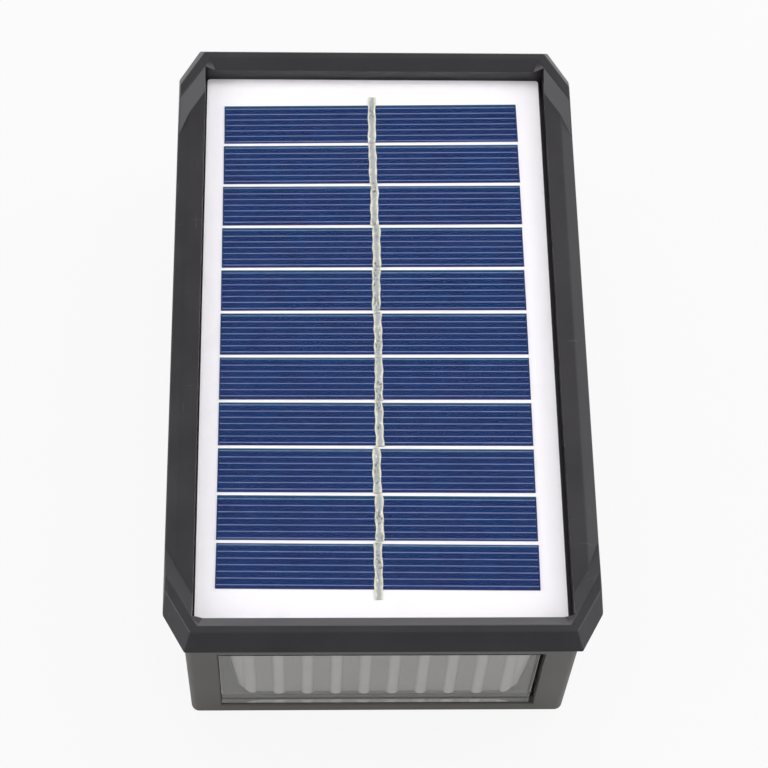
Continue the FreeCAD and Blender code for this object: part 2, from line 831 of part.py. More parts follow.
def contact_plate(x):
    return box(x, x + contact_thickness, battery_y - contact_width / 2, battery_y + contact_width / 2,
               housing_floor + holder_floor, battery_z + contact_width / 2)


def arc_from(start, tangent, end):
    """The arc that leaves start along tangent and reaches end."""
    chord = end.sub(start)
    along = Vector(chord).normalize()
    aside = tangent.sub(along * tangent.dot(along)).normalize()
    rise = chord.Length / 2 * math.tan(tangent.getAngle(chord) / 2)
    return Part.Arc(start, start.add(chord * 0.5).add(aside * rise), end).toShape()


def coil_path(radius, pitch, turns):
    """A helix about X, made of pairs of tangent arcs."""
    step = 2 * math.pi / spring_points
    slope = pitch / (2 * math.pi)
    arcs = []
    for i in range(turns * spring_points):
        a0, a1 = i * step, (i + 1) * step
        p0 = Vector(slope * a0, radius * math.cos(a0), radius * math.sin(a0))
        p1 = Vector(slope * a1, radius * math.cos(a1), radius * math.sin(a1))
        t0 = Vector(slope, -radius * math.sin(a0), radius * math.cos(a0)).normalize()
        t1 = Vector(slope, -radius * math.sin(a1), radius * math.cos(a1)).normalize()
        gap = p1.sub(p0)
        along = gap.dot(t0.add(t1))
        bend = 2 * (1 - t0.dot(t1))
        reach = (math.sqrt(along ** 2 + bend * gap.dot(gap)) - along) / bend
        join = p0.add(t0 * reach).add(p1.sub(t1 * reach)) * 0.5
        arcs.append(arc_from(p0, t0, join))
        back = arc_from(p1, t1 * -1, join)
        arcs.append(back.reversed())
    return Part.Wire(arcs)


def battery_spring():
    """The negative spring and its plate."""
    room = spring_length - spring_wire
    path = coil_path(spring_radius, room / spring_turns, spring_turns)
    start = Vector(0, spring_radius, 0)
    ring = Part.Wire(Part.makeCircle(spring_wire / 2, start, Vector(0, 0, 1)))
    coil = path.makePipeShell([ring], True, False)
    coil.translate(Vector(holder_left + contact_thickness + spring_wire / 2, battery_y, battery_z))
    print("spring volume %.2f, expected %.2f" % (coil.Volume, math.pi * spring_wire ** 2 / 4 * path.Length))
    return contact_plate(holder_left), coil


# ---------------------------------------------------------------- leads
def lead(points):
    """A round lead along straight runs joined by tangent arcs, each as large as its runs allow."""
    path = []
    start = points[0]
    for i in range(1, len(points) - 1):
        before = points[i].sub(points[i - 1])
        after = points[i + 1].sub(points[i])
        half_turn = before.getAngle(after) / 2
        cut_back = 0.45 * min(before.Length, after.Length)
        arc_start = points[i].sub(before.normalize() * cut_back)
        arc_end = points[i].add(after.normalize() * cut_back)
        radius = cut_back / math.tan(half_turn)
        inward = arc_start.add(arc_end) * 0.5 - points[i]
        to_centre = radius / math.cos(half_turn)
        middle = points[i].add(inward.normalize() * (to_centre - radius))
        path.append(Part.makeLine(start, arc_start))
        path.append(Part.Arc(arc_start, middle, arc_end).toShape())
        start = arc_end
    path.append(Part.makeLine(start, points[-1]))
    wire = Part.Wire(path)
    ring = Part.Wire(Part.makeCircle(lead_radius, points[0], points[1].sub(points[0])))
    tube = wire.makePipeShell([ring], True, False)
    expected = math.pi * lead_radius ** 2 * wire.Length
    print("lead of length %.1f, volume %.1f, expected %.1f" % (wire.Length, tube.Volume, expected))
    return tube


def leads():
    plugs = connector_places()
    top = control_top + connector_height
    for colour, side in (("red", -1), ("black", 1)):
        dx = side * lead_spacing / 2
        panel = plugs["panel"]
        save("panel_lead_" + colour, lead([
            Vector(lead_hole_x + dx, lead_hole_y, board_bottom),
            Vector(lead_hole_x + dx, lead_hole_y, panel_lead_high),
            Vector(lead_hole_x + dx + panel_lead_bow_x, lead_hole_y + panel_lead_bow_y, panel_lead_middle),
            Vector(panel.x + dx, panel.y, panel_lead_low),
            Vector(panel.x + dx, panel.y, top)]))
        light = plugs["light"]
        board_back = led_board_y + led_board_thickness
        save("led_lead_" + colour, lead([
            Vector(dx, board_back, led_board_z),
            Vector(dx, board_back + light_lead_straight, led_board_z),
            Vector(dx + light_lead_bow_x, board_back + light_lead_bow, led_board_z - light_lead_drop),
            Vector(light.x + dx, light.y, led_board_z - 2 * light_lead_drop),
            Vector(light.x + dx, light.y, top)]))
    plug = plugs["battery"]
    end_z = battery_z + contact_width / 2
    for colour, side, x in (("red", 1, battery_right), ("black", -1, holder_left)):
        dx = side * lead_spacing / 2
        plate_x = x + contact_thickness / 2
        crest_x = x - side * battery_lead_inset
        save("battery_lead_" + colour, lead([
            Vector(plate_x, battery_y, end_z),
            Vector(plate_x, battery_y, end_z + battery_lead_rise),
            Vector(crest_x, battery_y - battery_lead_bow, end_z + battery_lead_crest),
            Vector(plug.x + dx + side * battery_lead_spread, plug.y + battery_lead_reach,
                   end_z + battery_lead_turn),
            Vector(plug.x + dx, plug.y, end_z + battery_lead_low),
            Vector(plug.x + dx, plug.y, top)]))


# ---------------------------------------------------------------- write the sub-parts
os.makedirs("parts", exist_ok=True)
save("top_frame", top_frame())
save("lid_gasket", lid_gasket())
solar_panel()
save("housing", housing())
save("front_lens", front_lens())
save("lens_seal", lens_seal())
save("light_mask", light_mask())
save("diffuser", diffuser())
save("reflector", reflector())
save("led_board", led_board())
save("led_chips", *led_chips())
screws()
save("push_button", push_button())
save("switch_plunger", switch_plunger())
save("push_switch", push_switch())
save("button_seal", button_seal())
save("control_board", control_board())
save("lead_connectors", *lead_connectors())
save("charge_chip", charge_chip())
save("inductor", inductor())
save("capacitor", capacitor())
save("battery_holder", battery_holder())
save("battery_cell", battery_cell())
save("battery_contact", contact_plate(battery_right))
save("battery_spring", *battery_spring())
leads()
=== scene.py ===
"""Solar fence light: the finish of every piece, with a plain studio round it.

Metres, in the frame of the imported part. The back lies on z = 0 and -Y is the end with the light window.
"""
import math
import random

import bmesh
import bpy
from mathutils import Euler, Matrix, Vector


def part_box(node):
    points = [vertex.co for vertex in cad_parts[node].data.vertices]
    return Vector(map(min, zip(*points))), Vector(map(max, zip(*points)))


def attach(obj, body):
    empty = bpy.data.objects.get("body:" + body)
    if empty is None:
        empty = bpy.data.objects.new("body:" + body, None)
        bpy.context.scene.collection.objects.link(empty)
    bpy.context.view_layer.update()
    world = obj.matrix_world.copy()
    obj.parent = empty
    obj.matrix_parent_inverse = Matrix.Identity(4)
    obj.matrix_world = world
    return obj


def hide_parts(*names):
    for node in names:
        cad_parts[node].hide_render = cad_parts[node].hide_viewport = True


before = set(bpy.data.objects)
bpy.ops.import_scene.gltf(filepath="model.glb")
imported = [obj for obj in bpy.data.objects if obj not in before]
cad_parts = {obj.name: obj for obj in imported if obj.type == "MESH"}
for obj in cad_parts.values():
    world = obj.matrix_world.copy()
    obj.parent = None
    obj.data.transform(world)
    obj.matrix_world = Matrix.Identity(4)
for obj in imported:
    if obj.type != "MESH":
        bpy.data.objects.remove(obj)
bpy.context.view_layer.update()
mm = 0.001

# ---------------------------------------------------------------- camera
# A long lens that looks down on the end with the light window, from a little to the left.
# Its place and turn are fitted to the panel's rows, the lid's edges and the housing's corners.
camera_place = Vector((-19.22, -274.45, 553.24)) * mm
camera_turn = (27.486, -2.066, 0.059)       # degrees about X, Y and Z, the last one first
camera_lens = 105.42                        # for a 36 mm sensor
camera_data = bpy.data.cameras.new("camera")
camera_data.lens = camera_lens
camera_data.sensor_width = 36.0
camera_data.clip_start = 0.01
camera = bpy.data.objects.new("camera", camera_data)
camera.rotation_mode = "ZYX"
camera.rotation_euler = Euler([math.radians(a) for a in camera_turn], "ZYX")
camera.location = camera_place
bpy.context.scene.collection.objects.link(camera)
bpy.context.scene.camera = camera
bpy.context.scene.view_settings.view_transform = "Standard"


# ---------------------------------------------------------------- floor
# A wide white floor just under the flat back.
# The camera and gloss see some of it as plain white, and it keeps a faint shadow.
floor_half = 4.0
floor_drop = 0.2 * mm
floor_white_seen = 0.90                     # how much of it the camera sees as plain white
floor_white_reflected = 0.15                # and how much of it gloss and glass do
floor_white = (0.9, 0.9, 0.9, 1)
floor_roughness = 0.8


def material_tree(name):
    """A new material, its node tree and its main shader."""
    material = bpy.data.materials.new(name)
    material.use_nodes = True
    return material, material.node_tree, material.node_tree.nodes["Principled BSDF"]


def add(tree, kind, inputs=None, **settings):
    """A node with its settings, and its inputs set to values or linked to sockets."""
    node = tree.nodes.new(kind)
    for key, value in settings.items():
        setattr(node, key, value)
    for key, value in (inputs or {}).items():
        if isinstance(value, bpy.types.NodeSocket):
            tree.links.new(value, node.inputs[key])
        else:
            node.inputs[key].default_value = value
    return node


def larger(tree, first, second):
    return add(tree, "ShaderNodeMath", {0: first, 1: second}, operation="MAXIMUM").outputs[0]


def mesh_object(name, mesh):
    """A new object in the scene, at the origin."""
    piece = bpy.data.objects.new(name, mesh)
    bpy.context.scene.collection.objects.link(piece)
    return piece


floor_mesh = bpy.data.meshes.new("floor")
floor_corners = [(-floor_half, -floor_half), (floor_half, -floor_half), (floor_half, floor_half),
                 (-floor_half, floor_half)]
floor_mesh.from_pydata([(x, y, -floor_drop) for x, y in floor_corners], [], [(0, 1, 2, 3)])
floor = mesh_object("floor", floor_mesh)
floor_paint, tree, shader = material_tree("white floor")
shader.inputs["Base Color"].default_value = floor_white
shader.inputs["Roughness"].default_value = floor_roughness
path = add(tree, "ShaderNodeLightPath")
glow = add(tree, "ShaderNodeEmission", {"Color": (1, 1, 1, 1), "Strength": 1.0})
seen = larger(tree, path.outputs["Is Camera Ray"], path.outputs["Is Transmission Ray"])
seen = add(tree, "ShaderNodeMapRange", {"Value": seen, "To Max": floor_white_seen})
mirrored = add(tree, "ShaderNodeMapRange", {"Value": path.outputs["Is Glossy Ray"],
                                            "To Max": floor_white_reflected})
share = larger(tree, seen.outputs[0], mirrored.outputs[0])
blend = add(tree, "ShaderNodeMixShader", {0: share, 1: shader.outputs[0], 2: glow.outputs[0]})
tree.links.new(blend.outputs[0], tree.nodes["Material Output"].inputs["Surface"])
floor_mesh.materials.append(floor_paint)


# ---------------------------------------------------------------- light
# A large soft light above and behind, a soft box low on each side, and an even pale surround.
# Gloss shows only the surround, which is brighter above and round the horizon. It has a bright patch
# low on each side, a faint one high on the right, and another level behind.
surround = 0.40                             # what pale surfaces receive from all round
surround_low = 0.22                         # what gloss shows of the surround level with the object,
surround_rise = 0.47                        # how much more straight above,
surround_fall = -0.14                       # and how much less behind
lamps = {
    "overhead": {"brightness": 1.25, "size": (1.1, 0.8), "place": (0.15, 0.55, 1.15)},
    "left_box": {"brightness": 2.4, "size": (0.5, 0.36), "place": (-0.80, 0.02, 0.38)},
    "right_box": {"brightness": 3.1, "size": (0.5, 0.36), "place": (0.80, 0.10, 0.38)},
}
surround_seen = 1.0                         # the camera sees plain white
band_brightness = 1.1                       # a paler band round the horizon,
band_start = 0.5                            # which starts where a direction rises or falls this steeply,
band_full = 0.2                             # is full from here to the horizon,
band_gone = -0.75                           # and is gone this far round to the camera's side in Y
patches = [                                 # direction, inner and outer angle in degrees, brightness
    ((-0.90, 0.02, 0.44), 12, 26, 2.4),
    ((0.90, 0.02, 0.44), 12, 26, 2.0),
    ((0.62, 0.45, 0.64), 12, 30, 0.9),
    ((0.0, 1.0, -0.02), 10, 18, 2.6),
]
for lamp_name, lamp in lamps.items():
    lamp_data = bpy.data.lights.new(lamp_name, "AREA")
    lamp_data.shape = "RECTANGLE"
    lamp_data.size, lamp_data.size_y = lamp["size"]
    lamp_data.energy = lamp["brightness"] * math.pi * lamp["size"][0] * lamp["size"][1]
    lamp_object = bpy.data.objects.new(lamp_name, lamp_data)
    lamp_object.location = lamp["place"]
    lamp_object.rotation_mode = "QUATERNION"
    lamp_object.rotation_quaternion = Vector(lamp["place"]).to_track_quat("Z", "Y")
    lamp_object.visible_glossy = False
    bpy.context.scene.collection.objects.link(lamp_object)


def times(tree, first, second):
    return add(tree, "ShaderNodeMath", {0: first, 1: second}, operation="MULTIPLY").outputs[0]


def plus(tree, first, second):
    return add(tree, "ShaderNodeMath", {0: first, 1: second}, operation="ADD").outputs[0]


def soft_step(tree, value, start, full, top):
    """Nothing before start and top past full, with a soft rise between them."""
    inputs = {"Value": value, "From Min": start, "From Max": full, "To Max": top}
    return add(tree, "ShaderNodeMapRange", inputs, interpolation_type="SMOOTHSTEP").outputs[0]


world = bpy.data.worlds.new("surround")
world.use_nodes = True
bpy.context.scene.world = world
tree = world.node_tree
tree.nodes.clear()
path = add(tree, "ShaderNodeLightPath")
direction = add(tree, "ShaderNodeTexCoord").outputs["Generated"]
parts = add(tree, "ShaderNodeSeparateXYZ", {0: direction})
risen = times(tree, parts.outputs["Z"], surround_rise)
fallen = times(tree, parts.outputs["Y"], surround_fall)
gloss = plus(tree, plus(tree, risen, fallen), surround_low)
steepness = add(tree, "ShaderNodeMath", {0: parts.outputs["Z"]}, operation="ABSOLUTE").outputs[0]
band = soft_step(tree, steepness, band_start, band_full, band_brightness)
aside = add(tree, "ShaderNodeMapRange", {"Value": parts.outputs["Y"], "From Min": band_gone, "From Max": 0.0})
gloss = plus(tree, gloss, times(tree, band, aside.outputs[0]))
for toward, inner, outer, brightness in patches:
    nearness = add(tree, "ShaderNodeVectorMath", {0: direction, 1: Vector(toward).normalized()},
                   operation="DOT_PRODUCT").outputs["Value"]
    start, full = [math.cos(math.radians(angle)) for angle in (outer, inner)]
    gloss = plus(tree, gloss, soft_step(tree, nearness, start, full, brightness))
level = add(tree, "ShaderNodeMix", {"Factor": path.outputs["Is Glossy Ray"], "A": surround, "B": gloss})
level = add(tree, "ShaderNodeMix", {"Factor": path.outputs["Is Camera Ray"], "A": level.outputs["Result"],
                                    "B": surround_seen})
back = add(tree, "ShaderNodeBackground", {"Color": (1, 1, 1, 1), "Strength": level.outputs["Result"]})
add(tree, "ShaderNodeOutputWorld", {"Surface": back.outputs[0]})


# ---------------------------------------------------------------- lid
# The black lid: one moulding in ABS with a raised rim, cut corners and a leaning skirt.
# Its long edges are rounded by a few tenths of a millimetre, and its faces have a fine grain.
lid_edge = 0.32 * mm
lid_shortest = 1.6 * mm                     # shorter edges stay sharp,
lid_fold = 16                               # and so do those that fold by fewer degrees
lid_underside = 48.5 * mm
recess_corner = Vector((45.3, 78.4, 58.75)) * mm    # where the corner's slope meets the recess's walls
lid_body = (0.0290, 0.0265, 0.0320, 1)
lid_pale = (0.050, 0.047, 0.054, 1)
lid_scuff = (0.17, 0.17, 0.17, 1)
lid_roughness = 0.36


def place_of(tree, scale=(1, 1, 1)):
    """Where a point is on the object, in metres, stretched by scale."""
    coordinates = add(tree, "ShaderNodeTexCoord").outputs["Object"]
    return add(tree, "ShaderNodeMapping", {"Vector": coordinates, "Scale": scale}).outputs[0]


def noise(tree, place, size, detail=4.0, roughness=0.5):
    """A cloudy pattern from 0 to 1 whose features are about size across."""
    return add(tree, "ShaderNodeTexNoise", {"Vector": place, "Scale": 1 / size, "Detail": detail,
                                            "Roughness": roughness}).outputs["Fac"]


def ramp(tree, value, low, high, start=0.0, end=1.0):
    """value moved from the range low to high, to the range start to end."""
    return add(tree, "ShaderNodeMapRange", {"Value": value, "From Min": low, "From Max": high,
                                            "To Min": start, "To Max": end}).outputs[0]


def mix(tree, share, first, second):
    """A colour between first and second."""
    return add(tree, "ShaderNodeMix", {"Factor": share, "A": first, "B": second}, data_type="RGBA").outputs[2]


def relief(tree, height, depth, strength=1.0):
    """A bump whose full height is depth."""
    return add(tree, "ShaderNodeBump", {"Height": height, "Distance": depth, "Strength": strength}).outputs[0]


def moulded_plastic(name, body, pale, scuff, roughness):
    """Moulded plastic: a fine grain, a slow drift in tone and gloss, and a few thin pale scuffs."""
    drift_size = 14 * mm
    lengthways_size = 1.1 * mm
    sideways_size = 0.9 * mm
    worn_size = 22 * mm
    worn_most = 0.25                        # how pale a scuff gets
    grain_size = 0.35 * mm
    grain_depth = 0.010 * mm
    material, tree, shader = material_tree(name)
    place = place_of(tree)
    drift = noise(tree, place, drift_size, 5)
    tone = mix(tree, ramp(tree, drift, 0.35, 0.75, 0, 0.55), body, pale)
    lengthways = noise(tree, place_of(tree, (1, 0.12, 1)), lengthways_size, 2)
    sideways = noise(tree, place_of(tree, (0.1, 1, 0.6)), sideways_size, 2)
    worn = noise(tree, place, worn_size, 2)
    marks = larger(tree, ramp(tree, lengthways, 0.70, 0.76), ramp(tree, sideways, 0.70, 0.76))
    marks = times(tree, marks, ramp(tree, worn, 0.50, 0.62, 0, worn_most))
    tree.links.new(mix(tree, marks, tone, scuff), shader.inputs["Base Color"])
    satin = ramp(tree, drift, 0.3, 0.7, roughness - 0.05, roughness + 0.06)
    tree.links.new(satin, shader.inputs["Roughness"])
    fine = noise(tree, place, grain_size, 3, 0.6)
    tree.links.new(relief(tree, fine, grain_depth, 0.8), shader.inputs["Normal"])
    return material


def rounded_copy(name, node, radius, shortest, fold, lowest=0.0, spared=None):
    """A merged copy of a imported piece, with its long outward edges rounded.

    Only edges above lowest are rounded, and none that ends at a point with the absolute values of spared.
    """
    same_point = 0.002 * mm
    same_corner = 0.05 * mm
    flat = math.radians(0.6)                # faces that fold less are one face
    crisp = math.radians(35)                # edges that fold more are shaded sharp
    arc_steps = 3
    work = bmesh.new()
    work.from_mesh(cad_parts[node].data)
    bmesh.ops.remove_doubles(work, verts=work.verts, dist=same_point)
    bmesh.ops.dissolve_limit(work, angle_limit=flat, verts=work.verts, edges=work.edges)

    def to_round(edge):
        if len(edge.link_faces) != 2 or not edge.is_convex or edge.calc_length() < shortest:
            return False
        if edge.calc_face_angle() < math.radians(fold):
            return False
        ends = [vertex.co for vertex in edge.verts]
        if spared and any((Vector(map(abs, end)) - spared).length < same_corner for end in ends):
            return False
        return min(end.z for end in ends) >= lowest

    bmesh.ops.bevel(work, geom=[e for e in work.edges if to_round(e)], offset=radius,
                    segments=arc_steps, profile=0.5, affect="EDGES", clamp_overlap=False)
    plain = bpy.data.meshes.new(name)
    work.to_mesh(plain)
    work.free()
    for layer in list(plain.attributes):
        if layer.name in ("custom_normal", "sharp_edge", "sharp_face"):
            plain.attributes.remove(layer)
    plain.shade_smooth()
    plain.set_sharp_from_angle(angle=crisp)
    piece = mesh_object(name, plain)
    weighted = piece.modifiers.new("even_faces", "WEIGHTED_NORMAL")
    weighted.keep_sharp = True
    return piece


def ride_and_replace(piece, material, node):
    """Finish a made piece: its material, its body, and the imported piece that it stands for."""
    piece.data.materials.clear()
    piece.data.materials.append(material)
    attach(piece, "lamp")
    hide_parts(node)


lid_plastic = moulded_plastic("black moulded lid", lid_body, lid_pale, lid_scuff, lid_roughness)
lid = rounded_copy("lid", "top_frame", lid_edge, lid_shortest, lid_fold, lid_underside, recess_corner)
ride_and_replace(lid, lid_plastic, "top_frame")


# ---------------------------------------------------------------- solar panel's board
# The solar panel's white laminate board, which carries the strips.
# Black foam tape under it sticks it into the lid's recess.
board_white = (0.865, 0.845, 0.868, 1)
board_shade = (0.80, 0.785, 0.805, 1)
foam_black = (0.02, 0.02, 0.02, 1)
foam_grey = (0.06, 0.06, 0.06, 1)


def finish_node(node, material):
    """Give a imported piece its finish."""
    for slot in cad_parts[node].material_slots:
        slot.material = material


def speckled(name, low, high, size, roughness, depth=0.01 * mm, contrast=(0.35, 0.65), **shine):
    """A surface that drifts between two colours in patches of about size, with a finer relief."""
    material, tree, shader = material_tree(name)
    place = place_of(tree)
    pattern = noise(tree, place, size, 5, 0.6)
    tree.links.new(mix(tree, ramp(tree, pattern, *contrast), low, high), shader.inputs["Base Color"])
    tree.links.new(ramp(tree, pattern, 0.3, 0.7, roughness, roughness + 0.1), shader.inputs["Roughness"])
    tree.links.new(relief(tree, noise(tree, place, size / 6, 3), depth), shader.inputs["Normal"])
    for key, value in shine.items():
        shader.inputs[key.replace("_", " ")].default_value = value
    return material


finish_node("panel_board", speckled("white board", board_shade, board_white, size=9 * mm, roughness=0.42,
                                    depth=0.002 * mm, contrast=(0.15, 0.45)))
finish_node("panel_tape", speckled("black foam tape", foam_black, foam_grey, size=0.8 * mm, roughness=0.9,
                                   depth=0.15 * mm))


# ---------------------------------------------------------------- solar cells
# Eleven blue crystalline strips laid by hand, each a little turned against the last.
# Silver fingers are printed along each strip. Its coating is teal at one long edge and violet at the other.
strip_count = 11
strip_width = 78.0 * mm
strip_depth = 11.77 * mm
strip_pitch = 12.77 * mm
strip_thickness = 0.2 * mm
strip_turn = math.radians(-0.5)
strip_fan = math.radians(0.13)
finger_count = 7
finger_pitch = 1.73 * mm
finger_width = 0.22 * mm
finger_height = 0.02 * mm
finger_margin = 0.3 * mm
print_wander = 0.3 * mm                     # how far a strip's fingers may be printed off its middle
print_seed = 4
cells_low, cells_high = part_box("solar_cells")
field_centre = (cells_low + cells_high) / 2
cell_blue = (0.001, 0.026, 0.118, 1)
cell_navy = (0.001, 0.013, 0.078, 1)
cell_teal = (0.004, 0.065, 0.115, 1)
cell_violet = (0.010, 0.014, 0.100, 1)
finger_silver = (0.150, 0.205, 0.380, 1)
finger_shade = (0.085, 0.125, 0.270, 1)
crystal_size = 4.5 * mm
cloud_size = 11 * mm
ripple_size = 1.6 * mm
ripple_depth = 0.004 * mm
coating_gloss = 0.05
teal_edge = (0.38, 0.50)                    # shares of a strip's depth where its teal edge starts and ends
violet_edge = (-0.50, -0.42)                # and its violet edge


def new_tree(name, inputs):
    """A geometry tree with named inputs, its first node's outputs, and its last node."""
    tree = bpy.data.node_groups.new(name, "GeometryNodeTree")
    tree.interface.new_socket("Geometry", in_out="INPUT", socket_type="NodeSocketGeometry")
    for key, kind in inputs.items():
        tree.interface.new_socket(key, in_out="INPUT", socket_type="NodeSocket" + kind)
    tree.interface.new_socket("Geometry", in_out="OUTPUT", socket_type="NodeSocketGeometry")
    start = tree.nodes.new("NodeGroupInput")
    end = tree.nodes.new("NodeGroupOutput")
    return tree, start.outputs, end


def grown(name, tree, values):
    """The plain mesh that a geometry tree makes with these input values."""
    seed = mesh_object(name + "_seed", bpy.data.meshes.new(name + "_seed"))
    modifier = seed.modifiers.new("grow", "NODES")
    modifier.node_group = tree
    for item in tree.interface.items_tree:
        if item.in_out == "INPUT" and item.name in values:
            modifier[item.identifier] = values[item.name]
    graph = bpy.context.evaluated_depsgraph_get()
    mesh = bpy.data.meshes.new_from_object(seed.evaluated_get(graph), preserve_all_data_layers=True,
                                           depsgraph=graph)
    mesh.name = name
    bpy.data.objects.remove(seed)
    return mesh_object(name, mesh)


def vector_math(tree, operation, first, second):
    return add(tree, "ShaderNodeVectorMath", {0: first, 1: second}, operation=operation).outputs[0]


def block(tree, x, y, z):
    """A box with the given sides."""
    size = add(tree, "ShaderNodeCombineXYZ", {0: x, 1: y, 2: z}).outputs[0]
    return add(tree, "GeometryNodeMeshCube", {"Size": size}).outputs["Mesh"]


tree, given, end = new_tree("strips", {
    "Count": "Int", "Pitch": "Float", "Width": "Float", "Depth": "Float", "Thickness": "Float",
    "First Turn": "Float", "Fan": "Float", "Fingers": "Int", "Finger Pitch": "Float", "Finger Width": "Float",
    "Finger Height": "Float", "Finger Margin": "Float", "Print Wander": "Float", "Seed": "Int",
    "Cell": "Material", "Silver": "Material"})
wafer = block(tree, given["Width"], given["Depth"], given["Thickness"])
finger_length = plus(tree, given["Width"], times(tree, given["Finger Margin"], -2.0))
finger = block(tree, finger_length, given["Finger Width"], given["Finger Height"])
first_finger = times(tree, plus(tree, given["Fingers"], -1.0), times(tree, given["Finger Pitch"], -0.5))
finger_step = add(tree, "ShaderNodeCombineXYZ", {1: given["Finger Pitch"]}).outputs[0]
finger_top = times(tree, plus(tree, given["Thickness"], given["Finger Height"]), 0.5)
finger_start = add(tree, "ShaderNodeCombineXYZ", {1: first_finger, 2: finger_top}).outputs[0]
finger_line = add(tree, "GeometryNodeMeshLine", {"Count": given["Fingers"], "Start Location": finger_start,
                                                 "Offset": finger_step}).outputs[0]
fingers = add(tree, "GeometryNodeInstanceOnPoints", {"Points": finger_line, "Instance": finger}).outputs[0]
fingers = add(tree, "GeometryNodeRealizeInstances", {"Geometry": fingers}).outputs[0]
first_strip = times(tree, plus(tree, given["Count"], -1.0), times(tree, given["Pitch"], -0.5))
strip_start = add(tree, "ShaderNodeCombineXYZ", {1: first_strip}).outputs[0]
strip_step = add(tree, "ShaderNodeCombineXYZ", {1: given["Pitch"]}).outputs[0]
places = add(tree, "GeometryNodeMeshLine", {"Count": given["Count"], "Start Location": strip_start,
                                            "Offset": strip_step}).outputs[0]
index = add(tree, "GeometryNodeInputIndex").outputs[0]
angle = plus(tree, given["First Turn"], times(tree, index, given["Fan"]))
turn = add(tree, "ShaderNodeCombineXYZ", {2: angle}).outputs[0]
least = add(tree, "ShaderNodeCombineXYZ", {1: times(tree, given["Print Wander"], -1.0)}).outputs[0]
most = add(tree, "ShaderNodeCombineXYZ", {1: given["Print Wander"]}).outputs[0]
shift = add(tree, "FunctionNodeRandomValue", {"Min": least, "Max": most, "Seed": given["Seed"]},
            data_type="FLOAT_VECTOR").outputs[0]
moved = add(tree, "GeometryNodeSetPosition", {"Geometry": places, "Offset": shift}).outputs[0]
everything = add(tree, "GeometryNodeJoinGeometry")
for shape, points, material in ((wafer, places, given["Cell"]), (fingers, moved, given["Silver"])):
    kept = add(tree, "GeometryNodeStoreNamedAttribute", {
        "Geometry": shape, "Name": "strip_place", "Value": add(tree, "GeometryNodeInputPosition").outputs[0]},
        data_type="FLOAT_VECTOR", domain="POINT").outputs[0]
    laid = add(tree, "GeometryNodeInstanceOnPoints", {"Points": points, "Instance": kept,
                                                      "Rotation": turn}).outputs[0]
    numbered = add(tree, "GeometryNodeStoreNamedAttribute", {"Geometry": laid, "Name": "strip_number",
                                                             "Value": index}, data_type="FLOAT",
                   domain="INSTANCE").outputs[0]
    real = add(tree, "GeometryNodeRealizeInstances", {"Geometry": numbered}).outputs[0]
    finished = add(tree, "GeometryNodeSetMaterial", {"Geometry": real, "Material": material}).outputs[0]
    tree.links.new(finished, everything.inputs[0])
tree.links.new(everything.outputs[0], end.inputs["Geometry"])

cell_coating, tree, shader = material_tree("blue crystalline cell")
strip_place = add(tree, "ShaderNodeAttribute", attribute_name="strip_place").outputs["Vector"]
strip_number = add(tree, "ShaderNodeAttribute", attribute_name="strip_number").outputs["Fac"]
apart = vector_math(tree, "ADD", strip_place, add(tree, "ShaderNodeCombineXYZ",
                                                  {2: strip_number}).outputs[0])
grains = add(tree, "ShaderNodeTexVoronoi", {"Vector": apart, "Scale": 1 / crystal_size, "Randomness": 1.0},
             feature="F1").outputs["Color"]
grain_tone = add(tree, "ShaderNodeSeparateColor", {0: grains}).outputs[0]
clouds = noise(tree, apart, cloud_size, 3)
tone = mix(tree, ramp(tree, grain_tone, 0, 1, 0.25, 0.75), cell_navy, cell_blue)
tone = mix(tree, ramp(tree, clouds, 0.35, 0.75, 0.0, 0.35), tone, cell_violet)
across = add(tree, "ShaderNodeSeparateXYZ", {0: strip_place}).outputs[1]
across = times(tree, across, 1 / strip_depth)
tone = mix(tree, ramp(tree, across, *teal_edge, 0.0, 0.8), tone, cell_teal)
tone = mix(tree, ramp(tree, across, *violet_edge, 0.7, 0.0), tone, cell_violet)
tree.links.new(tone, shader.inputs["Base Color"])
tree.links.new(ramp(tree, grain_tone, 0, 1, 0.32, 0.42), shader.inputs["Roughness"])
tree.links.new(relief(tree, noise(tree, apart, ripple_size, 2), ripple_depth, 0.3), shader.inputs["Normal"])
shader.inputs["Specular IOR Level"].default_value = coating_gloss
silver_print = speckled("silver finger print", finger_shade, finger_silver, size=2.5 * mm, roughness=0.5)
strips = grown("cell_strips", bpy.data.node_groups["strips"], {
    "Count": strip_count, "Pitch": strip_pitch, "Width": strip_width, "Depth": strip_depth,
    "Thickness": strip_thickness, "First Turn": strip_turn, "Fan": strip_fan, "Fingers": finger_count,
    "Finger Pitch": finger_pitch, "Finger Width": finger_width, "Finger Height": finger_height,
    "Finger Margin": finger_margin, "Print Wander": print_wander, "Seed": print_seed, "Cell": cell_coating,
    "Silver": silver_print})
for vertex in strips.data.vertices:
    vertex.co += field_centre
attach(strips, "lamp")
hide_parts("solar_cells")


